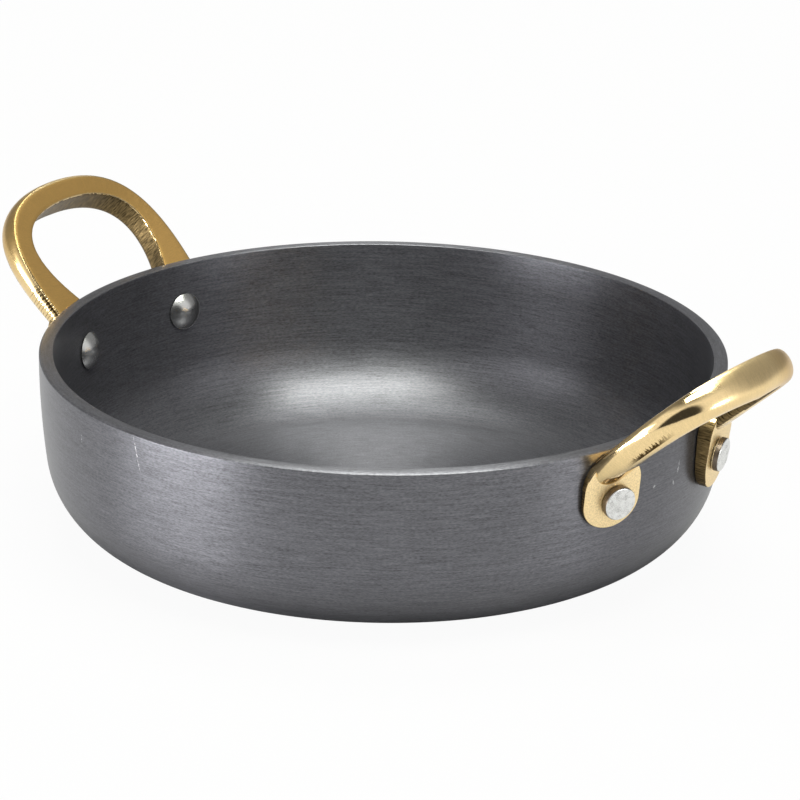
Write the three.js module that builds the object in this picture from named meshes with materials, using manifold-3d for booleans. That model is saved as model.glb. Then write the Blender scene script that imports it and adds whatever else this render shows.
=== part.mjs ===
// Mini casserole dish: a bowed, hard-anodised aluminium pan with two cast brass loop handles.
// Each handle has two lugs, and a rivet through each lug and the pan's wall holds it.
// Millimetres, +Z up. The origin is the middle of the base, and the handles lie along X.
import * as THREE from "three";
import { mergeVertices, toCreasedNormals } from "three/addons/utils/BufferGeometryUtils.js";
import Module from "manifold-3d";

// Pan
const cookingDiameter = 140; // inside the rim
const wallThickness = 3;
const panHeight = 39;
const wallBowRadius = 174; // the wall is upright at the rim and bows in below it
const heelRadius = 18.7; // outside, between the wall and the base
const rimOuterRound = 0.5;
const rimInnerRound = 1.2;

// Rivets
const rivetSpacing = 34.6; // between the two rivets of a handle
const rivetDrop = 11; // below the rim
const shankRadius = 2.6;
const headRadius = 4.1; // the domed head is inside the pan
const headHeight = 2;
const tailRadius = 3.65; // the flat set tail is outside
const tailHeight = 1.5;
const tailChamfer = 0.4;

// Lugs, measured from the rivet's axis. One lug of the casting is short and thin, the other long and thick.
const shortLugThickness = 1.5; // at the rivet
const shortLugReach = 6; // downwards, to the end of a half-ellipse
const shortLugTurn = 7; // degrees that the face turns outwards, which thins its outer edge
const longLugThickness = 2.3;
const longLugReach = 8;
const longLugTurn = 0;
const lugLean = 4; // degrees that a lug thins downwards
const lugOuterReach = 7.9; // away from the other lug
const lugInnerReach = 5.7;
const lugTopReach = 10;
const lugOuterShoulder = 7; // radius of the upper corner that runs into the leg's outer side
const lugInnerShoulder = 6;

// Loop, drawn flat as two edges of its top face and then tilted up.
// Lengths along the slope start at the rim's radius, and widths are measured from the rivets.
const loopTilt = 44.4; // degrees above level
const loopLift = 0.8; // height of the top face over the rim, at the rim's radius
const loopReach = 25.5; // to the crown's outer edge
const crownTopWidth = 4.7;
const legRun = 11; // how far the legs run on below the rim, towards the wall
const outerRootWidth = 4.4;
const outerSwellWidth = 9;
const outerSwellAt = 14.5;
const outerCrownWidth = 2.8;
const innerRootWidth = -8.2;
const innerSwellWidth = 8.2;
const innerSwellAt = 13.2;
const innerCrownWidth = -1.4;

// Bar of the loop: flat top, flat inner side, round outer side and belly
const bellyRootDepth = 5;
const bellyCrownDepth = 7.6;
const innerSideStop = 1.5; // the flat inner side ends this far above the belly's lowest line
const barBulge = 1.1; // the round outer side stands this far beyond the top face
const sideGuideOut = 1.8; // first guide point of the round side
const sideGuideDown = 1.2;

const seatGap = 0.3; // between pieces that touch

// Facets
const panSegments = 80;
const heelSteps = 7;
const bowSteps = 4;
const rimSteps = 3;
const rivetSegments = 24;
const domeSteps = 4;
const lugSteps = 6;
const halfLoopSteps = 18;
const sideSteps = 6;
const bellySteps = 2;
const mergeDistance = 1e-4;
const creaseAngle = Math.PI / 6;

const rimRadius = cookingDiameter / 2 + wallThickness;
const bowCentre = new THREE.Vector2(rimRadius - wallBowRadius, panHeight);
const heelCentre = new THREE.Vector2(
  bowCentre.x + Math.sqrt((wallBowRadius - heelRadius) ** 2 - (panHeight - heelRadius) ** 2),
  heelRadius,
);
const heelEnd = heelCentre.clone().sub(bowCentre).angle() - 2 * Math.PI; // where heel and bow meet

const rivetHeight = panHeight - rivetDrop;
const wallTilt = Math.asin(rivetDrop / wallBowRadius); // the wall leans in at the rivets
const wallRadius = bowCentre.x + wallBowRadius * Math.cos(wallTilt);
const rivetAngle = Math.asin(rivetSpacing / 2 / wallRadius);
const holeRadius = shankRadius + seatGap;
const shortLug = { side: -1, thickness: shortLugThickness, reach: shortLugReach, turn: shortLugTurn };
const longLug = { side: 1, thickness: longLugThickness, reach: longLugReach, turn: longLugTurn };
const lugs = [shortLug, longLug];

const wasm = await Module();
wasm.setup();

const hardAnodised = new THREE.MeshStandardMaterial({ color: 0x55555a, roughness: 0.42, metalness: 0.8 });
const castBrass = new THREE.MeshStandardMaterial({ color: 0xc9a15a, roughness: 0.24, metalness: 1 });
const rivetAluminium = new THREE.MeshStandardMaterial({ color: 0xc4c5c6, roughness: 0.34, metalness: 1 });

function arc(centre, radius, from, to, steps) {
  return Array.from({ length: steps + 1 }, (_, step) => {
    const angle = from + ((to - from) * step) / steps;
    return new THREE.Vector2(centre.x + radius * Math.cos(angle), centre.y + radius * Math.sin(angle));
  });
}

// The wall's line from the base's edge to the rim, moved out from the pan's outside.
function wallLine(outwards, belowRim) {
  const bowRadius = wallBowRadius + outwards;
  const bowEnd = -Math.asin(belowRim / bowRadius);
  return [
    ...arc(heelCentre, heelRadius + outwards, -Math.PI / 2, heelEnd, heelSteps),
    ...arc(bowCentre, bowRadius, heelEnd, bowEnd, bowSteps).slice(1),
  ];
}

function revolve(profile, segments) {
  return new THREE.LatheGeometry(profile, segments).rotateX(Math.PI / 2);
}

// A closed geometry as a solid that can be joined and cut.
function solidOf(geometry) {
  const bare = geometry.clone();
  bare.deleteAttribute("normal");
  bare.deleteAttribute("uv");
  const merged = mergeVertices(bare, mergeDistance);
  const corners = Array.from(merged.index.array);
  const faces = [];
  for (let first = 0; first < corners.length; first += 3) {
    const face = corners.slice(first, first + 3);
    if (new Set(face).size === 3) faces.push(...face); // a pole of a revolved shape has empty faces
  }
  return new wasm.Manifold(
    new wasm.Mesh({
      numProp: 3,
      vertProperties: merged.attributes.position.array,
      triVerts: new Uint32Array(faces),
    }),
  );
}

function geometryOf(solid) {
  const { vertProperties, triVerts } = solid.getMesh();
  const geometry = new THREE.BufferGeometry();
  geometry.setAttribute("position", new THREE.BufferAttribute(vertProperties, 3));
  geometry.setIndex(new THREE.BufferAttribute(triVerts, 1));
  return toCreasedNormals(geometry, creaseAngle);
}

// Rings with the same number of points become one closed skin with flat ends.
function loft(rings) {
  const count = rings[0].length;
  const points = rings.flat();
  const faces = [];
  for (let start = 0; start < points.length - count; start += count) {
    for (let side = 0; side < count; side += 1) {
      const here = start + side;
      const next = start + ((side + 1) % count);
      faces.push(here, next + count, next, here, here + count, next + count);
    }
  }
  const lastStart = points.length - count;
  for (let side = 1; side < count - 1; side += 1) {
    faces.push(0, side, side + 1);
    faces.push(lastStart, lastStart + side + 1, lastStart + side);
  }
  const geometry = new THREE.BufferGeometry().setFromPoints(points);
  return geometry.setIndex(faces);
}

// Frame of a rivet: x along the wall, y up the wall, z out of the wall, origin on the wall's outside.
function rivetFrame({ side }) {
  const turn = side * rivetAngle;
  const out = new THREE.Vector3(
    Math.cos(turn) * Math.cos(wallTilt),
    Math.sin(turn) * Math.cos(wallTilt),
    -Math.sin(wallTilt),
  );
  const along = new THREE.Vector3(-Math.sin(turn), Math.cos(turn), 0);
  const up = new THREE.Vector3().crossVectors(out, along);
  return new THREE.Matrix4()
    .makeBasis(along, up, out)
    .setPosition(wallRadius * Math.cos(turn), wallRadius * Math.sin(turn), rivetHeight);
}

// Frame of a lug's face: the rivet's frame moved out to the face, turned and leant with it.
function lugFrame(lug) {
  const turn = new THREE.Matrix4().makeRotationY(lug.side * THREE.MathUtils.degToRad(lug.turn));
  const lean = new THREE.Matrix4().makeRotationX(THREE.MathUtils.degToRad(lugLean));
  const toFace = new THREE.Matrix4().makeTranslation(0, 0, seatGap + lug.thickness);
  return rivetFrame(lug).multiply(toFace).multiply(turn).multiply(lean);
}

function rivetHole(lug) {
  const length = 2 * (wallThickness + lug.thickness + tailHeight);
  const hole = new THREE.CylinderGeometry(holeRadius, holeRadius, length, rivetSegments);
  return solidOf(hole.rotateX(Math.PI / 2).applyMatrix4(rivetFrame(lug)));
}

function makePan() {
  const outerRim = new THREE.Vector2(rimRadius - rimOuterRound, panHeight - rimOuterRound);
  const innerRim = new THREE.Vector2(
    rimRadius - wallThickness + rimInnerRound,
    panHeight - rimInnerRound,
  );
  const profile = [
    new THREE.Vector2(0, 0),
    ...wallLine(0, rimOuterRound),
    ...arc(outerRim, rimOuterRound, 0, Math.PI / 2, rimSteps).slice(1),
    ...arc(innerRim, rimInnerRound, Math.PI / 2, Math.PI, rimSteps).slice(0, -1),
    ...wallLine(-wallThickness, rimInnerRound).reverse(),
    new THREE.Vector2(0, wallThickness),
  ];
  let pan = solidOf(revolve(profile, panSegments));
  const halfTurn = new THREE.Matrix4().makeRotationZ(Math.PI);
  for (const lug of lugs) {
    const hole = rivetHole(lug);
    pan = pan.subtract(hole).subtract(hole.transform(halfTurn.toArray()));
  }
  return geometryOf(pan);
}

// All that the pan fills or leaves open above itself, with the gap that a handle keeps to it.
function panEnvelope() {
  const top = panHeight + loopReach;
  const outline = wallLine(seatGap, 0);
  const profile = [
    new THREE.Vector2(0, -seatGap),
    ...outline,
    new THREE.Vector2(outline.at(-1).x, top),
    new THREE.Vector2(0, top),
  ];
  return solidOf(revolve(profile, panSegments));
}

function makeLug(lug) {
  const middle = (lugOuterReach - lugInnerReach) / 2;
  const halfWidth = (lugOuterReach + lugInnerReach) / 2;
  const outline = new THREE.Path();
  outline.absellipse(middle, 0, halfWidth, lug.reach, Math.PI, 2 * Math.PI, false);
  const outerX = lugOuterReach - lugOuterShoulder;
  outline.absarc(outerX, lugTopReach - lugOuterShoulder, lugOuterShoulder, 0, Math.PI / 2, false);
  const innerX = lugInnerShoulder - lugInnerReach;
  outline.absarc(innerX, lugTopReach - lugInnerShoulder, lugInnerShoulder, Math.PI / 2, Math.PI, false);
  const points = outline.getPoints(lugSteps).map(({ x, y }) => new THREE.Vector2(lug.side * x, y));
  const depth = lug.thickness + wallThickness; // starts inside the wall, where the pan's envelope cuts it
  const block = new THREE.ExtrudeGeometry(new THREE.Shape(points), { depth, bevelEnabled: false });
  return solidOf(block.translate(0, 0, -depth).applyMatrix4(lugFrame(lug)));
}

// One section of the bar, across the slope from the top face's inner edge to its outer edge.
function barSection(inner, outer, depth) {
  const across = outer.clone().sub(inner);
  const width = across.length();
  across.normalize();
  const belly = new THREE.Vector2(width / 2, depth);
  const roundSide = new THREE.CubicBezierCurve(
    new THREE.Vector2(width, 0),
    new THREE.Vector2(width + sideGuideOut, sideGuideDown),
    new THREE.Vector2(width + barBulge, depth),
    belly,
  );
  const innerBelly = new THREE.QuadraticBezierCurve(
    belly,
    new THREE.Vector2(0, depth),
    new THREE.Vector2(0, depth - innerSideStop),
  );
  const section = [
    new THREE.Vector2(0, 0),
    ...roundSide.getPoints(sideSteps),
    ...innerBelly.getPoints(bellySteps).slice(1),
  ];
  return section.map(({ x, y }) => {
    const spot = inner.clone().addScaledVector(across, x);
    return new THREE.Vector3(spot.x, spot.y, -y);
  });
}

function makeLoop() {
  const line = rivetSpacing / 2;
  const outerEdge = new THREE.CubicBezierCurve(
    new THREE.Vector2(-legRun, line + outerRootWidth),
    new THREE.Vector2(outerSwellAt, line + outerSwellWidth),
    new THREE.Vector2(loopReach, line + outerCrownWidth),
    new THREE.Vector2(loopReach, 0),
  );
  const innerReach = loopReach - crownTopWidth;
  const innerEdge = new THREE.CubicBezierCurve(
    new THREE.Vector2(-legRun, line + innerRootWidth),
    new THREE.Vector2(innerSwellAt, line + innerSwellWidth),
    new THREE.Vector2(innerReach, line + innerCrownWidth),
    new THREE.Vector2(innerReach, 0),
  );
  const half = Array.from({ length: halfLoopSteps + 1 }, (_, step) => {
    const along = step / halfLoopSteps;
    const depth = THREE.MathUtils.lerp(bellyRootDepth, bellyCrownDepth, along);
    return barSection(innerEdge.getPoint(along), outerEdge.getPoint(along), depth);
  });
  const otherHalf = half
    .slice(0, -1)
    .reverse()
    .map((ring) => ring.map((point) => new THREE.Vector3(point.x, -point.y, point.z)));
  const slope = new THREE.Vector3(1, 0, 0).applyAxisAngle(
    new THREE.Vector3(0, 1, 0),
    -THREE.MathUtils.degToRad(loopTilt),
  );
  const across = new THREE.Vector3(0, 1, 0);
  const frame = new THREE.Matrix4()
    .makeBasis(slope, across, new THREE.Vector3().crossVectors(slope, across))
    .setPosition(rimRadius, 0, panHeight + loopLift);
  return solidOf(loft([...half, ...otherHalf]).applyMatrix4(frame));
}

function makeHandle() {
  let handle = makeLoop();
  for (const lug of lugs) handle = handle.add(makeLug(lug));
  handle = handle.subtract(panEnvelope());
  for (const lug of lugs) handle = handle.subtract(rivetHole(lug));
  return geometryOf(handle);
}

// The head and shank follow the wall, and the tail follows the lug's face.
function makeRivet(lug) {
  const headSeat = -wallThickness - seatGap;
  const domeRadius = (headRadius ** 2 + headHeight ** 2) / (2 * headHeight);
  const domeCentre = new THREE.Vector2(0, headSeat - headHeight + domeRadius);
  const domeEdge = -Math.acos(headRadius / domeRadius);
  const shankEnd = lug.thickness + 2 * seatGap + tailHeight / 2; // inside the tail
  const headAndShank = [
    ...arc(domeCentre, domeRadius, -Math.PI / 2, domeEdge, domeSteps),
    new THREE.Vector2(shankRadius, headSeat),
    new THREE.Vector2(shankRadius, shankEnd),
    new THREE.Vector2(0, shankEnd),
  ];
  const tailEnd = seatGap + tailHeight;
  const tail = [
    new THREE.Vector2(0, seatGap),
    new THREE.Vector2(tailRadius, seatGap),
    new THREE.Vector2(tailRadius, tailEnd - tailChamfer),
    new THREE.Vector2(tailRadius - tailChamfer, tailEnd),
    new THREE.Vector2(0, tailEnd),
  ];
  const shank = solidOf(revolve(headAndShank, rivetSegments).applyMatrix4(rivetFrame(lug)));
  return geometryOf(shank.add(solidOf(revolve(tail, rivetSegments).applyMatrix4(lugFrame(lug)))));
}

const dish = new THREE.Group();

function addPiece(parent, name, geometry, material) {
  const piece = new THREE.Mesh(geometry, material.clone());
  piece.name = name;
  parent.add(piece);
}

addPiece(dish, "pan_body", makePan(), hardAnodised);

const handleGeometry = makeHandle();
const halves = [
  { name: "right", turn: 0, rivets: { front: shortLug, back: longLug } },
  { name: "left", turn: Math.PI, rivets: { front: longLug, back: shortLug } },
];
for (const { name, turn, rivets } of halves) {
  const half = new THREE.Group();
  half.rotation.z = turn;
  dish.add(half);
  addPiece(half, `${name}_handle`, handleGeometry, castBrass);
  for (const [place, lug] of Object.entries(rivets)) {
    addPiece(half, `${name}_${place}_rivet`, makeRivet(lug), rivetAluminium);
  }
}

export default dish;
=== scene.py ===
import math

import bmesh
import bpy
from mathutils import Matrix, Vector, noise


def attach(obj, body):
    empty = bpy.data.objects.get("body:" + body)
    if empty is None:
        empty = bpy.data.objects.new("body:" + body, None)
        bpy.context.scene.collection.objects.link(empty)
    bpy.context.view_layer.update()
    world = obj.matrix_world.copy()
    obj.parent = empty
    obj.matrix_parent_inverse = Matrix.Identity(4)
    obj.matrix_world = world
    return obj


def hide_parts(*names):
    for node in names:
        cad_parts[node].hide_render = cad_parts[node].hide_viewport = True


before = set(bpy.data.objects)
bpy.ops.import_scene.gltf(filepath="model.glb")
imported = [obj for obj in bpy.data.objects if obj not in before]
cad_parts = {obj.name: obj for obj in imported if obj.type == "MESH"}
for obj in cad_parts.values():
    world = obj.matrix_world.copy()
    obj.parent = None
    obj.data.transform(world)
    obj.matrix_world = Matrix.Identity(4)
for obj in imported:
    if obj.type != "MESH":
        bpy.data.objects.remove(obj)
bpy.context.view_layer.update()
mm = 0.001  # sizes are in millimetres and angles in degrees, unless a note says otherwise
onAxis = 1e-6  # a profile's point that is nearer to the axis than this lies on it


def linear(hexText):  # sRGB hex to linear colour, with alpha
    parts = [int(hexText[i:i + 2], 16) / 255 for i in (1, 3, 5)]
    return [p / 12.92 if p <= 0.04045 else ((p + 0.055) / 1.055) ** 2.4 for p in parts] + [1]


def addNode(tree, kind, inputs, **settings):  # an input is a value or another node's output
    made = tree.nodes.new("ShaderNode" + kind)
    for name, value in settings.items():
        setattr(made, name, value)
    for socket, value in inputs.items():
        if isinstance(value, bpy.types.NodeSocket):
            tree.links.new(value, made.inputs[socket])
        else:
            made.inputs[socket].default_value = value
    return made.outputs


def newMaterial(name, settings):
    material = bpy.data.materials.new(name)
    material.use_nodes = True
    shader = material.node_tree.nodes["Principled BSDF"]
    for socket, value in settings.items():
        shader.inputs[socket].default_value = value
    return material, material.node_tree, shader


def bezier(points, share):
    points = list(points)
    while len(points) > 1:
        points = [a.lerp(b, share) for a, b in zip(points, points[1:])]
    return points[0]


def arc(centre, radius, start, end, steps):  # start and end in radians
    points = []
    for i in range(steps + 1):
        angle = start + (end - start) * i / steps
        points.append(Vector((centre[0] + radius * math.cos(angle), centre[1] + radius * math.sin(angle))))
    return points


def runAlong(points):  # length of the closed outline, up to each point and back to the first
    run = [0]
    for a, b in zip(points, points[1:] + points[:1]):
        run.append(run[-1] + (b - a).length)
    return run


def smooth(mesh, sharpAngle):  # an edge stays sharp if it turns by more than the angle
    mesh.shade_smooth()
    mesh.set_sharp_from_angle(angle=math.radians(sharpAngle))


def newPiece(name, bm):
    mesh = bpy.data.meshes.new(name)
    bmesh.ops.recalc_face_normals(bm, faces=bm.faces)
    bm.to_mesh(mesh)
    bm.free()
    piece = bpy.data.objects.new(name, mesh)
    bpy.context.scene.collection.objects.link(piece)
    return piece


def revolve(bm, profile, segments, place):  # profile of (radius, height), from axis to axis
    rings = []
    for radius, height in profile:
        if radius < onAxis:
            rings.append([bm.verts.new(place @ Vector((0, 0, height * mm)))] * segments)
            continue
        ring = []
        for i in range(segments):
            angle = 2 * math.pi * i / segments
            point = Vector((radius * math.cos(angle), radius * math.sin(angle), height)) * mm
            ring.append(bm.verts.new(place @ point))
        rings.append(ring)
    for low, high in zip(rings, rings[1:]):
        for i in range(segments):
            j = (i + 1) % segments
            corners = [low[i], low[j], high[j], high[i]]
            bm.faces.new(list(dict.fromkeys(corners)))  # a triangle where a ring is one point


def combine(piece, tool, operation):  # join or cut, and delete the tool
    change = piece.modifiers.new("combine", "BOOLEAN")
    change.operation = operation
    change.solver = "EXACT"
    change.object = tool
    shape = bpy.data.meshes.new_from_object(piece.evaluated_get(bpy.context.evaluated_depsgraph_get()))
    piece.modifiers.clear()
    old, piece.data = piece.data, shape
    bpy.data.meshes.remove(old)
    bpy.data.objects.remove(tool)


# Camera: a long lens, at the photograph's angle
view = {
    "lens": 234,
    "sensor": 36,
    "place": (0.61753, -0.83455, 0.41243),  # metres
    "aim": (0.00136, 0.00432, 0.02669),  # metres
    "roll": 0.969,
}


def makeCamera():
    lens = bpy.data.cameras.new("camera")
    lens.lens = view["lens"]
    lens.sensor_width = view["sensor"]
    eye = bpy.data.objects.new("camera", lens)
    bpy.context.scene.collection.objects.link(eye)
    look = (Vector(view["aim"]) - Vector(view["place"])).to_track_quat("-Z", "Y").to_matrix().to_4x4()
    roll = Matrix.Rotation(math.radians(view["roll"]), 4, "Z")
    eye.matrix_world = Matrix.Translation(view["place"]) @ look @ roll
    bpy.context.scene.camera = eye
    bpy.context.scene.view_settings.view_transform = "Standard"


makeCamera()
print("camera placed")


# Pan: one spun bowl
pan = {
    "cooking": 140,  # across the inside of the rim
    "wall": 3,
    "height": 39,
    "bow": 174,  # outer radius of the wall's bow
    "heel": 18.7,  # outer radius between base and wall
    "rimEdge": 0.5,  # where the wall ends below the rim
    "rimSlope": (2.0, 0.4),  # width and drop of the rim's fall to its outer edge
    "rimInner": 0.2,  # radius of the rim's inner edge
    "sharp": 40, "segments": 288, "heelSteps": 24, "bowSteps": 16, "rimSteps": 16, "baseSteps": 12,
}
rimRadius = pan["cooking"] / 2 + pan["wall"]
bowCentre = (rimRadius - pan["bow"], pan["height"])
heelAway = math.sqrt((pan["bow"] - pan["heel"]) ** 2 - (pan["height"] - pan["heel"]) ** 2)
heelCentre = (bowCentre[0] + heelAway, pan["heel"])
heelEnd = math.atan2(heelCentre[1] - bowCentre[1], heelCentre[0] - bowCentre[0])  # where heel and bow meet

# Rivets: a domed head inside the pan and a hammered tail outside
rivet = {
    "spacing": 34.6,  # between the two rivets of a handle
    "drop": 11,  # below the rim
    "gap": 0.3,  # clearance to the wall and the lugs
    "shank": 2.6,  # radius
    "headRadius": 4.1, "headHeight": 2.0,
    "lipIn": 0.105, "lipHigh": 0.14, "lipUnder": 0.1,  # the rounded edge of the head
    "tailRadius": 3.65, "tailHeight": 1.5, "tailChamfer": 0.35,
    "footIn": 0.15, "footHigh": 0.2,  # the tail is drawn in where it meets the lug
    "faceShare": 0.9,  # outermost ring of the tail's face, as a share of its radius
    "faceFacing": 0.5,  # a tail's face looks up or down by more than this cosine, its edge by less
    "dent": 0.07, "dentMean": 0.6, "dentFrom": 0.3,  # depth, its mean share, and the height it starts at
    "squeeze": 0.025,  # share of the radius
    "dentRate": 0.8, "squeezeRate": 0.4, "firstSeed": 1.3,  # rates of noise per mm, and its first seed
    "sharp": 35, "segments": 64, "headSteps": 14, "chamferSteps": 5, "faceRings": 10,
}
wallTilt = math.asin(rivet["drop"] / pan["bow"])
wallRadius = bowCentre[0] + pan["bow"] * math.cos(wallTilt)
rivetAngle = math.asin(rivet["spacing"] / 2 / wallRadius)
halfTurn = Matrix.Rotation(math.pi, 4, "Z")

# Lugs: the casting's two differ; side is -1 at the front of the right handle and 1 at its back
lug = {
    "outer": 7.9, "inner": 5.7, "top": 10,  # from the rivet to each edge
    "outerShoulder": 7, "innerShoulder": 6,  # radii at the top
    "lean": 4, "edge": 0.3, "steps": 20, "edgeSteps": 3,
}
shortLug = {"side": -1, "thick": 1.5, "reach": 6, "turn": 7}
longLug = {"side": 1, "thick": 2.3, "reach": 8, "turn": 0}


def rivetPlace(side):  # x along the wall, y up the wall, z out of the wall
    turn = side * rivetAngle
    flat = math.cos(wallTilt)
    out = Vector((math.cos(turn) * flat, math.sin(turn) * flat, -math.sin(wallTilt)))
    beside = Vector((-math.sin(turn), math.cos(turn), 0))
    axes = Matrix((beside, out.cross(beside), out)).transposed().to_4x4()
    level = pan["height"] - rivet["drop"]
    spot = Vector((wallRadius * math.cos(turn), wallRadius * math.sin(turn), level)) * mm
    return Matrix.Translation(spot) @ axes


def lugPlace(one):  # on the lug's face, turned and leant with it
    toFace = Matrix.Translation((0, 0, (rivet["gap"] + one["thick"]) * mm))
    turn = Matrix.Rotation(one["side"] * math.radians(one["turn"]), 4, "Y")
    return rivetPlace(one["side"]) @ toFace @ turn @ Matrix.Rotation(math.radians(lug["lean"]), 4, "X")


def drillHoles(piece, turns):  # the holes that the shanks go through
    radius = rivet["shank"] + rivet["gap"]
    reach = pan["wall"] + rivet["tailHeight"] + longLug["thick"]
    profile = [Vector((0, -reach)), Vector((radius, -reach)), Vector((radius, reach)), Vector((0, reach))]
    for turn in turns:
        for one in (shortLug, longLug):
            bm = bmesh.new()
            revolve(bm, profile, rivet["segments"], turn @ rivetPlace(one["side"]))
            combine(piece, newPiece("drill", bm), "DIFFERENCE")


# Pan finish
panFinish = {
    "grey": "#69696e", "metal": 0.8, "roughness": 0.37, "roughnessSpread": 0.05,
    "anisotropic": 0.78, "anisotropicTurn": 0.25,  # a quarter turn from the tangent round the pan
    # spacing and length of the brush lines, drawn coarser than the real ones so that they show
    "strokes": ((0.2, 0.8), (0.4, 8)),
    "longShare": 0.4, "ragged": 0.6, "lineRange": (0.25, 0.75), "contrast": 0.6,
    "lineDepth": 0.004, "lineStrength": 0.35,
    "cloud": 30, "cloudRange": (0.3, 0.7), "cloudTone": (0.95, 1.05),  # a faint, wide haze
    "speckle": 0.3, "speckleRange": (0.44, 0.56),  # breaks the scuffs up
    "scuffTone": "#c8c8ca", "scuffDepth": 1.8, "scuffCore": 0.3,  # the core is a share of a scuff's size
    "scuffs": (  # azimuth, height, width, length and lean
        (-6.5, 34.8, 0.2, 4.6, 14), (-21.5, 32.5, 0.18, 1.2, 0), (93.6, 28.5, 0.35, 1.9, -12),
        (92.4, 25.6, 0.3, 1.0, 25), (86.8, 26.8, 0.45, 0.6, 0),
    ),
}


def drawBrushLines(tree, place):
    height = addNode(tree, "SeparateXYZ", {"Vector": place})["Z"]
    flat = addNode(tree, "VectorMath", {0: place, 1: (1, 1, 0)}, operation="MULTIPLY")[0]
    radius = addNode(tree, "VectorMath", {0: flat}, operation="LENGTH")["Value"]
    around = addNode(tree, "VectorMath", {0: flat}, operation="NORMALIZE")[0]
    compass = addNode(tree, "SeparateXYZ", {"Vector": around})
    # from the base's middle out and up to the rim
    along = addNode(tree, "Math", {0: radius, 1: height}, operation="ADD")[0]
    streaks = []
    for spacing, length in panFinish["strokes"]:
        across = addNode(tree, "Math", {0: along, 1: 1 / (spacing * mm)}, operation="MULTIPLY")[0]
        cells = rimRadius / length  # of noise, in one radian of the ring
        east = addNode(tree, "Math", {0: compass["X"], 1: cells}, operation="MULTIPLY")[0]
        north = addNode(tree, "Math", {0: compass["Y"], 1: cells}, operation="MULTIPLY")[0]
        spot = addNode(tree, "CombineXYZ", {"X": across, "Y": east, "Z": north})[0]
        streaks.append(addNode(tree, "TexNoise", {
            "Vector": spot, "Scale": 1, "Detail": 2, "Roughness": panFinish["ragged"]})["Fac"])
    return addNode(tree, "Mix", {"Factor": panFinish["longShare"], "A": streaks[0], "B": streaks[1]})[0]


def rubScuffs(tree, place, colour):  # pale rubbed spots and scratches in the wall
    speckle = addNode(tree, "TexNoise", {
        "Vector": place, "Scale": 1 / (panFinish["speckle"] * mm), "Detail": 2})["Fac"]
    low, high = panFinish["speckleRange"]
    broken = addNode(tree, "MapRange", {"Value": speckle, "From Min": low, "From Max": high})[0]
    up = Vector((0, 0, 1))
    for azimuth, level, width, length, lean in panFinish["scuffs"]:
        turn, lean = math.radians(azimuth), math.radians(lean)
        beside = Vector((math.cos(turn), math.sin(turn), 0))
        middle = Vector((math.sin(turn) * rimRadius, -math.cos(turn) * rimRadius, level)) * mm
        offset = addNode(tree, "VectorMath", {0: place, 1: middle}, operation="SUBTRACT")[0]
        axes = {
            "X": (beside * math.cos(lean) + up * math.sin(lean)) / (width * mm),
            "Y": (up * math.cos(lean) - beside * math.sin(lean)) / (length * mm),
            "Z": beside.cross(up) / (panFinish["scuffDepth"] * mm),
        }
        reach = {}
        for letter, axis in axes.items():
            parts = {0: offset, 1: axis}
            reach[letter] = addNode(tree, "VectorMath", parts, operation="DOT_PRODUCT")["Value"]
        apart = addNode(tree, "CombineXYZ", reach)[0]
        apart = addNode(tree, "VectorMath", {0: apart}, operation="LENGTH")["Value"]
        rubbedAndSheen = addNode(tree, "MapRange", {
            "Value": apart, "From Min": 1, "From Max": panFinish["scuffCore"]})[0]
        rubbedAndSheen = addNode(tree, "Math", {0: rubbedAndSheen, 1: broken}, operation="MULTIPLY")[0]
        pale = {"Factor": rubbedAndSheen, "A": colour, "B": linear(panFinish["scuffTone"])}
        colour = addNode(tree, "Mix", pale, data_type="RGBA")["Result"]
    return colour


def makePanMaterial():
    # hard-anodised aluminium, spun and brushed round: dark grey satin,
    # with fine rings that stretch a highlight across them
    material, tree, shader = newMaterial("Hard-anodised aluminium, spun and brushed", {
        "Metallic": panFinish["metal"],
        "Anisotropic": panFinish["anisotropic"],
        "Anisotropic Rotation": panFinish["anisotropicTurn"],
    })
    place = addNode(tree, "TexCoord", {})["Object"]
    lines = drawBrushLines(tree, place)
    low, high = panFinish["lineRange"]
    contrast, spread = panFinish["contrast"], panFinish["roughnessSpread"]
    tone = addNode(tree, "MapRange", {
        "Value": lines, "From Min": low, "From Max": high, "To Min": 1 - contrast, "To Max": 1 + contrast})[0]
    rough = addNode(tree, "MapRange", {
        "Value": lines, "From Min": low, "From Max": high,
        "To Min": panFinish["roughness"] - spread, "To Max": panFinish["roughness"] + spread})[0]
    cloud = addNode(tree, "TexNoise", {
        "Vector": place, "Scale": 1 / (panFinish["cloud"] * mm), "Detail": 3})["Fac"]
    low, high = panFinish["cloudRange"]
    dim, bright = panFinish["cloudTone"]
    haze = addNode(tree, "MapRange", {
        "Value": cloud, "From Min": low, "From Max": high, "To Min": dim, "To Max": bright})[0]
    shade = addNode(tree, "Math", {0: tone, 1: haze}, operation="MULTIPLY")[0]
    grey = linear(panFinish["grey"])[:3]
    colour = addNode(tree, "VectorMath", {0: grey, "Scale": shade}, operation="SCALE")[0]
    colour = rubScuffs(tree, place, colour)
    bump = addNode(tree, "Bump", {
        "Height": lines, "Strength": panFinish["lineStrength"], "Distance": panFinish["lineDepth"] * mm})[0]
    ring = addNode(tree, "Tangent", {}, direction_type="RADIAL", axis="Z")[0]
    tree.links.new(colour, shader.inputs["Base Color"])
    tree.links.new(rough, shader.inputs["Roughness"])
    tree.links.new(bump, shader.inputs["Normal"])
    tree.links.new(ring, shader.inputs["Tangent"])
    return material


def wallLine(outwards, belowRim):  # the heel and the wall, moved outwards
    heel = arc(heelCentre, pan["heel"] + outwards, -math.pi / 2, heelEnd, pan["heelSteps"])
    bowEnd = -math.asin(belowRim / (pan["bow"] + outwards))
    return heel + arc(bowCentre, pan["bow"] + outwards, heelEnd, bowEnd, pan["bowSteps"])[1:]


def baseLine(height):  # rings across the flat of the base, from the middle out
    return [Vector((heelCentre[0] * i / pan["baseSteps"], height)) for i in range(pan["baseSteps"])]


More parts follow.
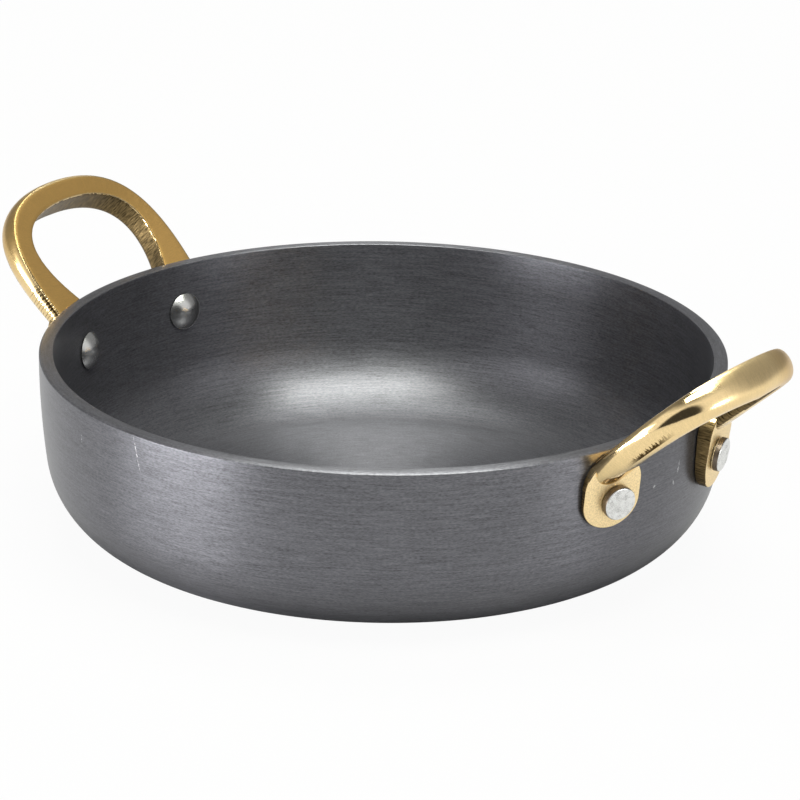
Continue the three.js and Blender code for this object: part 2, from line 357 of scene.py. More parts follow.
def rimLine():  # from the outer edge, over the sloped top, to the inner edge
    rimTop, quarter = pan["height"], math.pi / 2
    width, drop = pan["rimSlope"]
    slopeCentre = Vector((rimRadius - width, rimTop - drop))
    innerCentre = (rimRadius - pan["wall"] + pan["rimInner"], rimTop - pan["rimInner"])
    steps = arc((0, 0), 1, 0, quarter, pan["rimSteps"])[1:]
    top = [slopeCentre + Vector((width, drop)) * step for step in steps]
    return top + arc(innerCentre, pan["rimInner"], quarter, math.pi, pan["rimSteps"])[:-1]


def makePan():
    profile = baseLine(0) + wallLine(0, pan["rimEdge"]) + rimLine()
    profile += wallLine(-pan["wall"], pan["rimInner"])[::-1] + baseLine(pan["wall"])[::-1]
    bm = bmesh.new()
    revolve(bm, profile, pan["segments"], Matrix())
    piece = newPiece("panBowl", bm)
    drillHoles(piece, (Matrix(), halfTurn))
    smooth(piece.data, pan["sharp"])
    piece.data.materials.append(makePanMaterial())
    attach(piece, "root")
    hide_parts("pan_body")


makePan()
print("pan spun")


# Handle finishes, in the order of the handle's material slots; leg and crown are roughnesses,
# marks are the spacing, stretch and depth of the tool marks, and rubbed is the gain of a painted highlight on
# a leg
brass = {
    "polished": {
        "name": "Brass, cast and polished", "colour": "#f4d8a2", "leg": 0.05, "crown": 0.27,
        "marks": (0.55, 6, 0.008), "contrast": 0.06, "rubbedAndSheen": 1,
    },
    "flat": {
        "name": "Brass, cast and linished flat", "colour": "#e2b66d", "leg": 0.28, "crown": 0.28,
        "marks": (0.25, 12, 0.003), "contrast": 0.05, "rubbedAndSheen": 1.3,
    },
    "cast": {
        "name": "Brass, left as cast", "colour": "#7d6a48", "leg": 0.36, "crown": 0.42,
        "marks": (0.3, 8, 0.035), "contrast": 0.9, "rubbedAndSheen": 1,
    },
    "filed": {
        "name": "Brass, cast and filed flat", "colour": "#fbe2b0", "leg": 0.4, "crown": 0.4,
        "marks": (0.4, 1, 0.006), "contrast": 0.22, "rubbedAndSheen": 1,
    },
}
casting = {  # places along the bar are counted from the crown, and are negative on the long lug's leg
    "wave": 5, "sag": 0.05,  # spacing and depth of the casting's waves
    "markRagged": 0.55, "markRange": (0.3, 0.7), "markLight": 0.4, "markRough": 0.1,
    "grain": 0.25, "grainRange": (0.3, 0.7), "grainTone": (0.94, 1.05),
    "satin": (15, 24), "satinMiddle": -7,  # the crown's roughness fades between these, from its middle
    "crownShadeTone": "#d2b072", "crownShadeFade": (-4, -11),  # painted shade: a darker, greyer crown: where it starts, and where it is full
    "sheenSpan": (16, 32),  # where the painted highlight on the short lug's leg starts, and where it is brightest
    "scar": "#4b3817", "scarRough": 0.3,
    # foot and height of each strip of scars down the side, and its start and end on both legs
    "strips": ((0.9, 0.7, 27, 60), (6.3, 1.3, 22, 35)),
    "stripRise": 0.2, "stripFade": 0.3,  # shares of a strip's height and length
    "tooth": 0.2, "toothStretch": 0.3, "toothRange": (0.35, 0.65),  # width, rate per mm down the side
    "chatter": (-45, -32), "chatterFade": 2,  # where the file has chattered, and the fade at each end
    "chatterPitch": 0.75, "chatterDepth": 0.035, "chatterWander": 6,  # the wander is in radians
    # the chatter's grooves are painted darker, a painted shade
    "chatterRange": (0.35, 0.6), "chatterLeast": 0.2, "grooveShadeRange": (-0.2, -0.8), "grooveShadeTone": 0.7,
}


def addScars(tree, bar, along, down, colour, rough):  # casting skin left in ragged strips near the lugs
    stretch = (1 / casting["tooth"], casting["toothStretch"], 1)
    teeth = addNode(tree, "VectorMath", {0: bar, 1: stretch}, operation="MULTIPLY")[0]
    teeth = addNode(tree, "TexNoise", {"Vector": teeth, "Scale": 1, "Detail": 3})["Fac"]
    low, high = casting["toothRange"]
    teeth = addNode(tree, "MapRange", {"Value": teeth, "From Min": low, "From Max": high})[0]
    fromCrown = addNode(tree, "Math", {0: along}, operation="ABSOLUTE")[0]
    scars = 0
    for foot, height, start, end in casting["strips"]:
        rise = foot - height * casting["stripRise"]
        top = addNode(tree, "Math", {0: teeth, 1: -height, 2: rise}, operation="MULTIPLY_ADD")[0]
        below = addNode(tree, "Math", {0: down, 1: top}, operation="GREATER_THAN")[0]
        above = addNode(tree, "Math", {0: down, 1: foot}, operation="LESS_THAN")[0]
        inside = addNode(tree, "Math", {0: below, 1: above}, operation="MULTIPLY")[0]
        apart = addNode(tree, "Math", {0: fromCrown, 1: (start + end) / 2}, operation="SUBTRACT")[0]
        apart = addNode(tree, "Math", {0: apart}, operation="ABSOLUTE")[0]
        core = (end - start) * (0.5 - casting["stripFade"])
        ends = addNode(tree, "MapRange", {"Value": apart, "From Min": (end - start) / 2, "From Max": core})[0]
        strip = addNode(tree, "Math", {0: inside, 1: ends}, operation="MULTIPLY")[0]
        scars = addNode(tree, "Math", {0: strip, 1: scars}, operation="MAXIMUM")[0]
    skin = {"Factor": scars, "A": colour, "B": linear(casting["scar"])}
    colour = addNode(tree, "Mix", skin, data_type="RGBA")["Result"]
    rough = addNode(tree, "Math", {0: scars, 1: casting["scarRough"], 2: rough}, operation="MULTIPLY_ADD")[0]
    return colour, rough


def addChatter(tree, along, marks):  # where the file has chattered across the root of the long lug's leg
    start, end = casting["chatter"]
    turns = 2 * math.pi / casting["chatterPitch"]
    ripple = addNode(tree, "Math", {0: along, 1: turns}, operation="MULTIPLY")[0]
    wander = casting["chatterWander"]
    ripple = addNode(tree, "Math", {0: marks, 1: wander, 2: ripple}, operation="MULTIPLY_ADD")[0]
    ripple = addNode(tree, "Math", {0: ripple}, operation="SINE")[0]
    apart = addNode(tree, "Math", {0: along, 1: (start + end) / 2}, operation="SUBTRACT")[0]
    apart = addNode(tree, "Math", {0: apart}, operation="ABSOLUTE")[0]
    half = (end - start) / 2
    core = half - casting["chatterFade"]
    ends = addNode(tree, "MapRange", {"Value": apart, "From Min": half, "From Max": core})[0]
    ripple = addNode(tree, "Math", {0: ripple, 1: ends}, operation="MULTIPLY")[0]
    low, high = casting["chatterRange"]
    uneven = addNode(tree, "MapRange", {
        "Value": marks, "From Min": low, "From Max": high, "To Min": casting["chatterLeast"], "To Max": 1})[0]
    return addNode(tree, "Math", {0: ripple, 1: uneven}, operation="MULTIPLY")[0]


def makeBrass(finish, scarredAndShaded):
    # cast brass: warm yellow metal, and the marks of its finishing run across the bar
    material, tree, shader = newMaterial(finish["name"], {"Metallic": 1})
    bar = addNode(tree, "UVMap", {}, uv_map="bar")[0]
    split = addNode(tree, "SeparateXYZ", {"Vector": bar})
    along, down = split["X"], split["Y"]  # on the loop: from the crown, and down from the top's outer edge
    place = addNode(tree, "TexCoord", {})["Object"]
    spacing, stretch, depth = finish["marks"]
    cells = (1 / spacing, 1 / (spacing * stretch), 1)
    marks = addNode(tree, "VectorMath", {0: bar, 1: cells}, operation="MULTIPLY")[0]
    marks = addNode(tree, "TexNoise", {
        "Vector": marks, "Scale": 1, "Detail": 3, "Roughness": casting["markRagged"]})["Fac"]
    waves, grains = 1 / (casting["wave"] * mm), 1 / (casting["grain"] * mm)  # in one metre
    wave = addNode(tree, "TexNoise", {"Vector": place, "Scale": waves, "Detail": 2})["Fac"]
    grain = addNode(tree, "TexNoise", {"Vector": place, "Scale": grains, "Detail": 2})["Fac"]
    low, high = casting["markRange"]
    tone = addNode(tree, "MapRange", {
        "Value": marks, "From Min": low, "From Max": high,
        "To Min": 1 - finish["contrast"], "To Max": 1 + finish["contrast"] * casting["markLight"]})[0]
    low, high = casting["grainRange"]
    dim, bright = casting["grainTone"]
    speck = addNode(tree, "MapRange", {
        "Value": grain, "From Min": low, "From Max": high, "To Min": dim, "To Max": bright})[0]
    shade = addNode(tree, "Math", {0: tone, 1: speck}, operation="MULTIPLY")[0]
    tint = linear(finish["colour"])[:3]
    colour = addNode(tree, "VectorMath", {0: tint, "Scale": shade}, operation="SCALE")[0]
    satin = addNode(tree, "Math", {0: along, 1: casting["satinMiddle"]}, operation="SUBTRACT")[0]
    satin = addNode(tree, "Math", {0: satin}, operation="ABSOLUTE")[0]
    near, far = casting["satin"]
    satin = addNode(tree, "MapRange", {
        "Value": satin, "From Min": near, "From Max": far, "To Min": 1, "To Max": 0})[0]
    rough = addNode(tree, "MapRange", {"Value": satin, "To Min": finish["leg"], "To Max": finish["crown"]})[0]
    rough = addNode(tree, "Math", {0: marks, 1: casting["markRough"], 2: rough}, operation="MULTIPLY_ADD")[0]
    sag = addNode(tree, "Bump", {"Height": wave, "Strength": 1, "Distance": casting["sag"] * mm})[0]
    cut = addNode(tree, "Bump", {"Height": marks, "Strength": 1, "Distance": depth * mm, "Normal": sag})[0]
    if scarredAndShaded:
        # painted shade: the crown is painted darker and greyer towards the long lug's side
        start, full = casting["crownShadeFade"]
        dullShadeMask = addNode(tree, "MapRange", {"Value": along, "From Min": start, "From Max": full})[0]
        dullShadeMask = addNode(tree, "Math", {0: satin, 1: dullShadeMask}, operation="MULTIPLY")[0]
        dullShade = linear(casting["crownShadeTone"])[:3]
        dullShade = addNode(tree, "VectorMath", {0: dullShade, "Scale": shade}, operation="SCALE")[0]
        colour = addNode(tree, "Mix", {"Factor": dullShadeMask, "A": colour, "B": dullShade}, data_type="RGBA")["Result"]
        colour, rough = addScars(tree, bar, along, down, colour, rough)
        ripple = addChatter(tree, along, marks)
        # painted shade: the chatter's grooves are painted darker, towards the scar colour
        start, full = casting["grooveShadeRange"]
        grooveShade = addNode(tree, "MapRange", {
            "Value": ripple, "From Min": start, "From Max": full, "To Max": casting["grooveShadeTone"]})[0]
        skin = {"Factor": grooveShade, "A": colour, "B": linear(casting["scar"])}
        colour = addNode(tree, "Mix", skin, data_type="RGBA")["Result"]
        cut = addNode(tree, "Bump", {
            "Height": ripple, "Strength": 1, "Distance": casting["chatterDepth"] * mm, "Normal": cut})[0]
    if finish["rubbedAndSheen"] > 1:  # painted highlight: the short lug's leg is painted lighter
        start, full = casting["sheenSpan"]
        rubbedAndSheen = addNode(tree, "MapRange", {
            "Value": along, "From Min": start, "From Max": full, "To Min": 1, "To Max": finish["rubbedAndSheen"]})[0]
        colour = addNode(tree, "VectorMath", {0: colour, "Scale": rubbedAndSheen}, operation="SCALE")[0]
    tree.links.new(colour, shader.inputs["Base Color"])
    tree.links.new(rough, shader.inputs["Roughness"])
    tree.links.new(cut, shader.inputs["Normal"])
    return material


# Handle: one casting, a loop drawn flat and tilted up, with two lugs
handle = {
    "tilt": 44.4,
    "lift": 0.8,  # of the loop's plane above the rim
    "reach": 25.43, "legRun": 11,  # out from the rim in the loop's plane, and back past it
    "crownWidth": 4.7,
    # guide points of each edge, as offsets from the line through a rivet; swellAt is out from the rim
    "outer": {"root": 4.4, "swell": 9, "swellAt": 14.5, "crown": 2.8},
    "inner": {"root": -8.2, "swell": 8.2, "swellAt": 13.2, "crown": -1.4},
    "bellyRoot": 5, "bellyCrown": 7.6,  # depth of the bar
    "innerStop": 1.5,  # how far above the bottom the inner side ends
    "bulge": 1.1, "guideOut": 1.8, "guideDown": 1.2, "sideStart": 0.035,  # guide the curve of the round side
    "edge": 0.22, "cornerShare": 0.25,  # the edges of the top face
    "nick": 0.12,  # depth of the waves and chips in the top's inner edge
    "nickRate": 1.7, "nickSeed": 3.1, "chipRate": 4.1, "chipSeed": 7.7,  # rates of noise per mm, and seeds
    "skin": 0.05, "skinRate": (2.3, 0.8), "skinSeed": 5,  # waves in the inner side
    "sharp": 22, "halfSteps": 110, "topSteps": 6, "sideSteps": 22, "bellySteps": 8, "innerSteps": 6,
}
tilt = math.radians(handle["tilt"])
slope = Vector((math.cos(tilt), 0, math.sin(tilt)))
acrossLoop = Vector((0, 1, 0))
loopAxes = Matrix((slope, acrossLoop, slope.cross(acrossLoop))).transposed().to_4x4()
loopPlace = Matrix.Translation(Vector((rimRadius, 0, pan["height"] + handle["lift"])) * mm) @ loopAxes


def barSection(width, depth, run):  # (across, down) from the top face's inner edge, round to it again
    edge = handle["edge"]
    nick = handle["nick"] * noise.noise(Vector((run * handle["nickRate"], handle["nickSeed"], 0)))
    chip = handle["nick"] * max(0, noise.noise(Vector((run * handle["chipRate"], handle["chipSeed"], 0))))
    roundSide = [
        Vector((width, 0)), Vector((width + handle["guideOut"], handle["guideDown"])),
        Vector((width + handle["bulge"], depth)), Vector((width / 2, depth)),
    ]
    low = depth - handle["innerStop"]
    innerBelly = [Vector((width / 2, depth)), Vector((0, depth)), Vector((0, low))]
    start, first = edge + nick + chip, handle["sideStart"]
    points = []
    for i in range(handle["topSteps"] + 1):
        points.append(Vector((start + (width - edge - start) * i / handle["topSteps"], 0)))
    for i in range(handle["sideSteps"] + 1):
        points.append(bezier(roundSide, first + (1 - first) * i / handle["sideSteps"]))
    for i in range(1, handle["bellySteps"] + 1):
        points.append(bezier(innerBelly, i / handle["bellySteps"]))
    alongRate, downRate = handle["skinRate"]
    for i in range(1, handle["innerSteps"] + 1):
        down = low + (edge + chip - low) * i / handle["innerSteps"]
        skin = noise.noise(Vector((run * alongRate, down * downRate, handle["skinSeed"])))
        points.append(Vector((handle["skin"] * skin, down)))
    points.append(Vector((start, edge + chip)) * handle["cornerShare"])
    return points


def loopEdge(edge, reach):  # half an edge of the loop, from its root to the crown
    line = rivet["spacing"] / 2
    return [
        Vector((-handle["legRun"], line + edge["root"])), Vector((edge["swellAt"], line + edge["swell"])),
        Vector((reach, line + edge["crown"])), Vector((reach, 0)),
    ]


def makeLoop():
    outerEdge = loopEdge(handle["outer"], handle["reach"])
    innerEdge = loopEdge(handle["inner"], handle["reach"] - handle["crownWidth"])
    half, outerCorner = handle["halfSteps"], handle["topSteps"]
    bm = bmesh.new()
    uv = bm.loops.layers.uv.new("bar")
    rings, runs, girths = [], [], []
    run, lastMiddle = 0, None
    for step in range(-half, half + 1):
        share = 1 - abs(step) / half
        flip = Vector((1, -1 if step > 0 else 1))
        inner, outer = bezier(innerEdge, share) * flip, bezier(outerEdge, share) * flip
        middle = inner.lerp(outer, 0.5)
        run += (middle - lastMiddle).length if lastMiddle else 0
        lastMiddle = middle
        across = outer - inner
        depth = handle["bellyRoot"] + (handle["bellyCrown"] - handle["bellyRoot"]) * share
        section = barSection(across.length, depth, run)
        across.normalize()
        ring = []
        for offset, down in section:
            flat = inner + across * offset
            ring.append(bm.verts.new(loopPlace @ (Vector((flat.x, flat.y, -down)) * mm)))
        girth = runAlong(section)
        rings.append(ring)
        runs.append(run)
        girths.append([length - girth[outerCorner] for length in girth])
    count, crown = len(rings[0]), runs[half]
    for k in range(2 * half):
        low, high = rings[k], rings[k + 1]
        lowRun, highRun = runs[k] - crown, runs[k + 1] - crown
        lowGirth, highGirth = girths[k], girths[k + 1]
        for i in range(count):
            j = (i + 1) % count
            face = bm.faces.new((low[i], low[j], high[j], high[i]))
            spots = ((lowRun, lowGirth[i]), (lowRun, lowGirth[i + 1]),
                     (highRun, highGirth[i + 1]), (highRun, highGirth[i]))
            for corner, spot in zip(face.loops, spots):
                corner[uv].uv = spot
    bm.faces.new(rings[0][::-1])
    bm.faces.new(rings[-1])
    return newPiece("loop", bm)


def lugOutline(one):
    steps = lug["steps"]
    middle, half = (lug["outer"] - lug["inner"]) / 2, (lug["outer"] + lug["inner"]) / 2
    points = []
    for i in range(2 * steps + 1):
        angle = math.pi * (1 + i / (2 * steps))
        points.append(Vector((middle + half * math.cos(angle), one["reach"] * math.sin(angle))))
    shoulder = lug["outerShoulder"]
    points += arc((lug["outer"] - shoulder, lug["top"] - shoulder), shoulder, 0, math.pi / 2, steps)
    shoulder = lug["innerShoulder"]
    points += arc((shoulder - lug["inner"], lug["top"] - shoulder), shoulder, math.pi / 2, math.pi, steps)
    return [Vector((one["side"] * point.x, point.y)) for point in points]


def makeLug(one):
    outline = lugOutline(one)
    count, run = len(outline), runAlong(outline)
    centre = sum(outline, Vector((0, 0))) / count
    place, edge = lugPlace(one), lug["edge"]
    levels = [(-pan["wall"] - one["thick"], 0), (-edge, 0)]  # height and inset, up to the rounded edge
    for i in range(1, lug["edgeSteps"] + 1):
        angle = math.pi / 2 * i / lug["edgeSteps"]
        levels.append((edge * (math.sin(angle) - 1), edge * (1 - math.cos(angle))))
    bm = bmesh.new()
    uv = bm.loops.layers.uv.new("bar")
    rings = []
    for height, inset in levels:
        ring = []
        for point in outline:
            drawn = point + (centre - point).normalized() * inset
            ring.append(bm.verts.new(place @ (Vector((drawn.x, drawn.y, height)) * mm)))
        rings.append(ring)
    for k in range(len(levels) - 1):
        low, high = rings[k], rings[k + 1]
        lowLevel, highLevel = levels[k][0], levels[k + 1][0]
        for i in range(count):
            j = (i + 1) % count
            face = bm.faces.new((low[i], low[j], high[j], high[i]))
            spots = ((run[i], lowLevel), (run[i + 1], lowLevel), (run[i + 1], highLevel), (run[i], highLevel))
            for corner, spot in zip(face.loops, spots):
                corner[uv].uv = spot
    for ring, points in ((rings[-1], outline), (rings[0][::-1], outline[::-1])):
        for corner, point in zip(bm.faces.new(ring).loops, points):
            corner[uv].uv = point
    return newPiece("lug", bm)


def makeEnvelope():  # the pan and all above it, with the gap that a handle keeps to it
    top = pan["height"] + handle["reach"]
    outline = wallLine(rivet["gap"], 0)
    profile = [Vector((0, -rivet["gap"]))] + outline + [Vector((outline[-1].x, top)), Vector((0, top))]
    bm = bmesh.new()
    revolve(bm, profile, pan["segments"], Matrix())
    return newPiece("envelope", bm)


zones = {  # where each finish of the handle lies: cosines of the way a face looks, and places in mm
    "topFacing": 0.97, "topDepth": 0.05,
    "insideFacing": 0.35, "insideUp": 0.3, "loopMiddle": 7,
    "lugReach": 9, "lugFacing": 0.9, "lugDepth": 0.1, "lugSideFacing": 0.3, "lugSideTop": 6,
}


def chooseFinishes(mesh):
    polished, flat, cast, filed = range(len(brass))
    intoLoop = loopPlace.inverted()
    intoLugs = [lugPlace(one).inverted() for one in (shortLug, longLug)]
    for face in mesh.polygons:
        spot = intoLoop @ face.center / mm
        facing = intoLoop.to_3x3() @ face.normal
        face.material_index = polished
        if facing.z > zones["topFacing"] and abs(spot.z) < zones["topDepth"]:
            face.material_index = flat
            continue
        inwards = Vector((zones["loopMiddle"] - spot.x, -spot.y, 0)).normalized()
        inside = facing.z < zones["insideUp"] and facing.dot(inwards) > zones["insideFacing"]
        if inside and spot.z < -zones["topDepth"]:
            face.material_index = cast
        for intoLug in intoLugs:
            spot = intoLug @ face.center / mm
            facing = intoLug.to_3x3() @ face.normal
            if abs(spot.x) > zones["lugReach"] or abs(spot.y) >= zones["lugReach"]:
                continue
            if facing.z > zones["lugFacing"] and abs(spot.z) < zones["lugDepth"]:
                face.material_index = filed
            elif abs(facing.z) < zones["lugSideFacing"] and spot.z < 0 and spot.y < zones["lugSideTop"]:
                face.material_index = cast


def makeHandles():
    piece = makeLoop()
    for one in (shortLug, longLug):
        combine(piece, makeLug(one), "UNION")
    combine(piece, makeEnvelope(), "DIFFERENCE")
    drillHoles(piece, (Matrix(),))
    mesh = piece.data
    mesh.materials.clear()
    for key, finish in brass.items():
        mesh.materials.append(makeBrass(finish, key == "polished"))
    chooseFinishes(mesh)
    smooth(mesh, handle["sharp"])
    other = bpy.data.objects.new("leftHandle", mesh.copy())
    bpy.context.scene.collection.objects.link(other)
    other.data.transform(halfTurn)
    piece.name = "rightHandle"
    for one, node in ((piece, "right_handle"), (other, "left_handle")):
        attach(one, "root")
        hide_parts(node)


makeHandles()
print("handles cast")


# Rivet finishes, in the order of a rivet's material slots; dents and scuffs are a spacing and a depth,
# roughness runs from the dents to the high spots, and worn is how much darker the low spots are
rivetFinishes = {
    "head": {
        "name": "Aluminium, drawn and polished", "colour": "#c4c4c2", "roughness": (0.25, 0.28),
        "dents": (3, 0.001), "scuffs": (0.12, 0.0006), "worn": 0.04,
    },
    "tail": {
        "name": "Aluminium, drawn and hammered", "colour": "#e6e6e4", "roughness": (0.2, 0.42),
        "dents": (1.4, 0.04), "scuffs": (0.15, 0.006), "worn": 0.4,
    },
    # painted shade: the tail's edge is painted a dark greyish brown
    "edge": {
        "name": "Aluminium, drawn, its edge painted with shade", "colour": "#7d7266", "roughness": (0.3, 0.45),
        "dents": (1.4, 0.02), "scuffs": (0.15, 0.006), "worn": 0.3,
    },
}
rivetMarks = {"dentRange": (0.3, 0.7), "patchRange": (0.75, 1.05), "scuffStrength": 0.5}


def makeRivetMaterial(finish):
    # soft aluminium: pale silver, smooth on the drawn head, scuffed by the hammer on the tail
    # and painted a greyish brown round the tail's edge, as painted shade
    material, tree, shader = newMaterial(finish["name"], {"Metallic": 1})
    place = addNode(tree, "TexCoord", {})["Object"]
    dentSize, dentDepth = finish["dents"]
    scuffSize, scuffDepth = finish["scuffs"]
    dents = addNode(tree, "TexNoise", {"Vector": place, "Scale": 1 / (dentSize * mm), "Detail": 3})["Fac"]
    scuffs = addNode(tree, "TexNoise", {"Vector": place, "Scale": 1 / (scuffSize * mm), "Detail": 2})["Fac"]
    patches = addNode(tree, "Math", {0: dents, 1: scuffs}, operation="ADD")[0]
    low, high = rivetMarks["patchRange"]
    shade = addNode(tree, "MapRange", {
        "Value": patches, "From Min": low, "From Max": high, "To Min": 1 - finish["worn"], "To Max": 1})[0]
    tint = linear(finish["colour"])[:3]
    colour = addNode(tree, "VectorMath", {0: tint, "Scale": shade}, operation="SCALE")[0]
    low, high = rivetMarks["dentRange"]
    smoothest, roughest = finish["roughness"]
    rough = addNode(tree, "MapRange", {
        "Value": dents, "From Min": low, "From Max": high, "To Min": smoothest, "To Max": roughest})[0]
    soft = addNode(tree, "Bump", {"Height": dents, "Strength": 1, "Distance": dentDepth * mm})[0]
    fine = addNode(tree, "Bump", {
        "Height": scuffs, "Strength": rivetMarks["scuffStrength"],
        "Distance": scuffDepth * mm, "Normal": soft})[0]
    tree.links.new(colour, shader.inputs["Base Color"])
    tree.links.new(rough, shader.inputs["Roughness"])
    tree.links.new(fine, shader.inputs["Normal"])
    return material


def headLine(one):  # the dome, its lip and the shank
    radius, height = rivet["headRadius"], rivet["headHeight"]
    seat = -pan["wall"] - rivet["gap"]
    shankEnd = one["thick"] + 2 * rivet["gap"] + rivet["tailHeight"] / 2
    dome = (radius ** 2 + height ** 2) / (2 * height)
    domeEnd = -math.acos((radius - rivet["lipIn"]) / dome)
    line = arc((0, seat - height + dome), dome, -math.pi / 2, domeEnd, rivet["headSteps"])
    line += [Vector((radius, seat - rivet["lipHigh"])), Vector((radius - rivet["lipUnder"], seat))]
    return line + [Vector((rivet["shank"], seat)), Vector((rivet["shank"], shankEnd)), Vector((0, shankEnd))]


def tailLine():  # from the lug's face up the side and in across the tail's face
    radius, chamfer, rings = rivet["tailRadius"], rivet["tailChamfer"], rivet["faceRings"]
    seat, top = rivet["gap"], rivet["gap"] + rivet["tailHeight"]
    line = [Vector((0, seat)), Vector((radius - rivet["footIn"], seat))]
    line.append(Vector((radius, seat + rivet["footHigh"])))
    line += arc((radius - chamfer, top - chamfer), chamfer, 0, math.pi / 2, rivet["chamferSteps"])
    return line + [Vector((radius * (1 - i / rings) * rivet["faceShare"], top)) for i in range(rings + 1)]


def hammer(vert, seed):  # the hammer leaves the tail uneven
    spot = vert.co / mm
    if spot.z <= rivet["gap"] + rivet["dentFrom"]:
        return
    rate = rivet["dentRate"]
    dent = rivet["dent"] * noise.noise(Vector((spot.x * rate + seed, spot.y * rate, seed)))
    vert.co.z -= (rivet["dent"] * rivet["dentMean"] + dent) * mm
    rate = rivet["squeezeRate"]
    squeeze = 1 + rivet["squeeze"] * noise.noise(Vector((spot.x * rate, spot.y * rate, seed * 2)))
    vert.co.x *= min(squeeze, 1)
    vert.co.y *= min(squeeze, 1)


def makeRivet(name, one, turn, seed, materials):
    _, tail, edge = range(len(rivetFinishes))  # a new face is in the first slot, which is the head's
    bm = bmesh.new()
    revolve(bm, tailLine(), rivet["segments"], Matrix())
    for face in bm.faces:
        face.normal_update()
        face.material_index = tail if abs(face.normal.z) > rivet["faceFacing"] else edge
    for vert in bm.verts:
        hammer(vert, seed)
        vert.co = turn @ lugPlace(one) @ vert.co
    revolve(bm, headLine(one), rivet["segments"], turn @ rivetPlace(one["side"]))
    piece = newPiece(name, bm)
    smooth(piece.data, rivet["sharp"])
    for material in materials:
        piece.data.materials.append(material)
    return piece


def makeRivets():
    materials = [makeRivetMaterial(finish) for finish in rivetFinishes.values()]
    spots = {
        "right_front_rivet": (shortLug, Matrix()), "right_back_rivet": (longLug, Matrix()),
        "left_front_rivet": (longLug, halfTurn), "left_back_rivet": (shortLug, halfTurn),
    }
    for count, (node, (one, turn)) in enumerate(spots.items()):
        side, end, last = node.split("_")
        name = side + end.capitalize() + last.capitalize()
        piece = makeRivet(name, one, turn, count + rivet["firstSeed"], materials)
        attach(piece, "root")
        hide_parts(node)


makeRivets()
print("rivets set")


# Studio: a pale floor and a surround that is dark on the camera's side; places in metres
studio = {
    "floor": "#b0b0b0", "floorSize": 3.0,  # half the width
    "floorDrop": 0.0003,  # below the base
    "floorRough": 0.9, "floorGloss": 0.1,
    "whiteShare": 0.95,  # share of plain white that the camera sees in the floor
    "mirrorShare": 0.64,  # and that metal mirrors
    "shade": (0.065, 0.087),  # from the middle: where mirrored white starts, and where it is full
    "aim": (0, 0, 0.02),
    "cameraSide": 36.5, "surroundTop": 50,  # azimuth and elevation
    "dark": 0.05, "sides": 1.0, "back": 0.3, "ceiling": 0.17,  # levels, where 1 is white
    "backFade": (0.0, 0.3), "darkFade": (0.76, 0.84),  # cosines of the angle to the camera's side
    "topFade": (-0.15, 0.1),  # either side of the sine of the surround's top
}
softboxes = {  # distance and size in metres, power in watts
    "leftSoftbox": {
        "azimuth": -28, "elevation": 2, "distance": 0.6,
        "size": (0.42, 0.065), "power": 2.7, "colour": "#ffffff",
    },
    "leftFill": {
        "azimuth": -28, "elevation": 14, "distance": 0.8,
        "size": (0.4, 0.22), "power": 0.7, "colour": "#ffffff",
    },
    "rightSoftbox": {
        "azimuth": 97, "elevation": 2, "distance": 0.6,
        "size": (0.16, 0.065), "power": 0.45, "colour": "#ffffff",
    },
    "topSoftbox": {
        "azimuth": 58, "elevation": 75, "distance": 1.3,
        "size": (0.9, 0.7), "power": 21.5, "colour": "#fdfff5",
    },
    "backSoftbox": {
        "azimuth": 216.5, "elevation": 66, "distance": 1.4,
        "size": (0.72, 0.5), "power": 11.5, "colour": "#fdfff8",
    },
}


def makeFloor():
    bm = bmesh.new()
    bmesh.ops.create_grid(bm, x_segments=1, y_segments=1, size=studio["floorSize"])
    floor = newPiece("floor", bm)
    # matt paper: next to no gloss, nearly plain white with a faint shadow
    material, tree, shader = newMaterial("Paper, matt white", {
        "Base Color": linear(studio["floor"]),
        "Roughness": studio["floorRough"],
        "Specular IOR Level": studio["floorGloss"],
    })
    ray = addNode(tree, "LightPath", {})
    mirrored = {0: ray["Is Glossy Ray"], 1: ray["Is Transmission Ray"]}
    mirrored = addNode(tree, "Math", mirrored, operation="MAXIMUM")[0]
    place = addNode(tree, "TexCoord", {})["Object"]
    away = addNode(tree, "VectorMath", {0: place}, operation="LENGTH")["Value"]
    near, far = studio["shade"]
    mirrorShare = addNode(tree, "MapRange", {
        "Value": away, "From Min": near, "From Max": far, "To Min": 0, "To Max": studio["mirrorShare"]})[0]
    mirrorShare = addNode(tree, "Math", {0: mirrored, 1: mirrorShare}, operation="MULTIPLY")[0]
    share = {0: ray["Is Camera Ray"], 1: studio["whiteShare"], 2: mirrorShare}
    share = addNode(tree, "Math", share, operation="MULTIPLY_ADD")[0]
    white = addNode(tree, "Emission", {"Color": (1, 1, 1, 1), "Strength": 1})[0]
    mixed = addNode(tree, "MixShader", {0: share, 1: shader.outputs[0], 2: white})[0]
    tree.links.new(mixed, tree.nodes["Material Output"].inputs["Surface"])
    floor.data.materials.append(material)
    floor.location.z = -studio["floorDrop"]


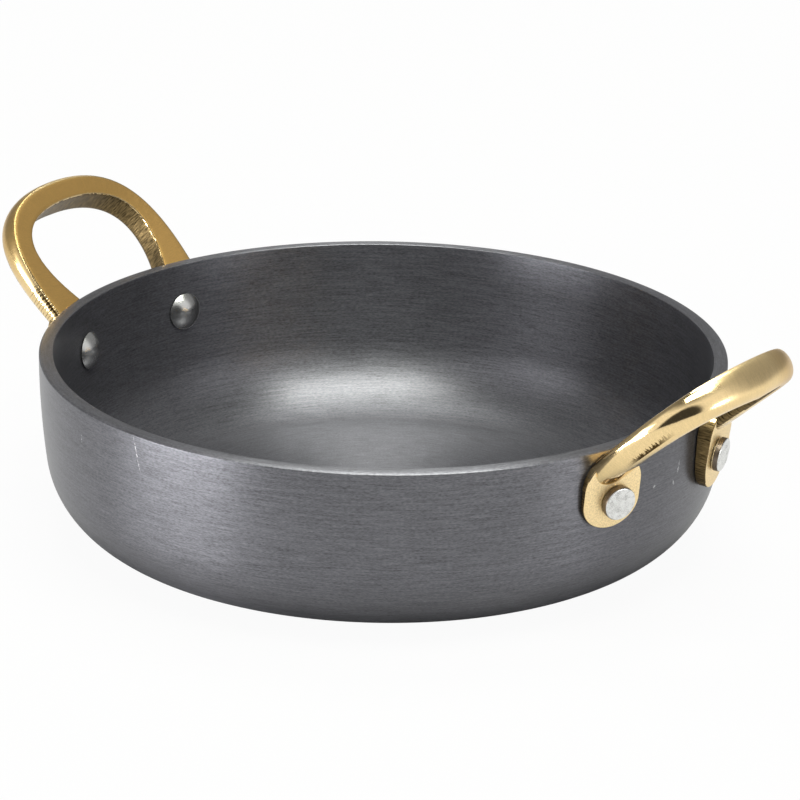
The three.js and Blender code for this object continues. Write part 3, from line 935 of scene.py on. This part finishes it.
def makeSurround():
    world = bpy.data.worlds.new("studio")
    world.use_nodes = True
    tree = world.node_tree
    ray = addNode(tree, "LightPath", {})
    outwards = addNode(tree, "TexCoord", {})["Generated"]
    upwards = addNode(tree, "SeparateXYZ", {"Vector": outwards})["Z"]
    side = math.radians(studio["cameraSide"])
    front = (math.sin(side), -math.cos(side), 0)
    towards = addNode(tree, "VectorMath", {0: outwards, 1: front}, operation="DOT_PRODUCT")["Value"]
    start, end = studio["backFade"]
    low = addNode(tree, "MapRange", {
        "Value": towards, "From Min": start, "From Max": end,
        "To Min": studio["back"], "To Max": studio["sides"]})[0]
    start, end = studio["darkFade"]
    facing = addNode(tree, "MapRange", {"Value": towards, "From Min": start, "From Max": end})[0]
    low = addNode(tree, "Mix", {"Factor": facing, "A": low, "B": studio["dark"]})[0]
    top = math.sin(math.radians(studio["surroundTop"]))
    start, end = studio["topFade"]
    raised = addNode(tree, "MapRange", {"Value": upwards, "From Min": top + start, "From Max": top + end})[0]
    level = addNode(tree, "Mix", {"Factor": raised, "A": low, "B": studio["ceiling"]})[0]
    room = addNode(tree, "Background", {"Color": (1, 1, 1, 1), "Strength": level})[0]
    white = addNode(tree, "Background", {"Color": (1, 1, 1, 1), "Strength": 1})[0]
    mixed = addNode(tree, "MixShader", {0: ray["Is Camera Ray"], 1: room, 2: white})[0]
    tree.links.new(mixed, tree.nodes["World Output"].inputs["Surface"])
    bpy.context.scene.world = world


def makeSoftbox(name, box):
    azimuth, elevation = math.radians(box["azimuth"]), math.radians(box["elevation"])
    level = math.cos(elevation)
    away = Vector((math.sin(azimuth) * level, -math.cos(azimuth) * level, math.sin(elevation)))
    light = bpy.data.lights.new(name, "AREA")
    light.shape = "RECTANGLE"
    light.size, light.size_y = box["size"]
    light.energy = box["power"]
    light.color = linear(box["colour"])[:3]
    lamp = bpy.data.objects.new(name, light)
    bpy.context.scene.collection.objects.link(lamp)
    place = Matrix.Translation(Vector(studio["aim"]) + away * box["distance"])
    lamp.matrix_world = place @ away.to_track_quat("Z", "Y").to_matrix().to_4x4()
    lamp.visible_camera = False


makeFloor()
makeSurround()
for name, box in softboxes.items():
    makeSoftbox(name, box)
print("studio lit")
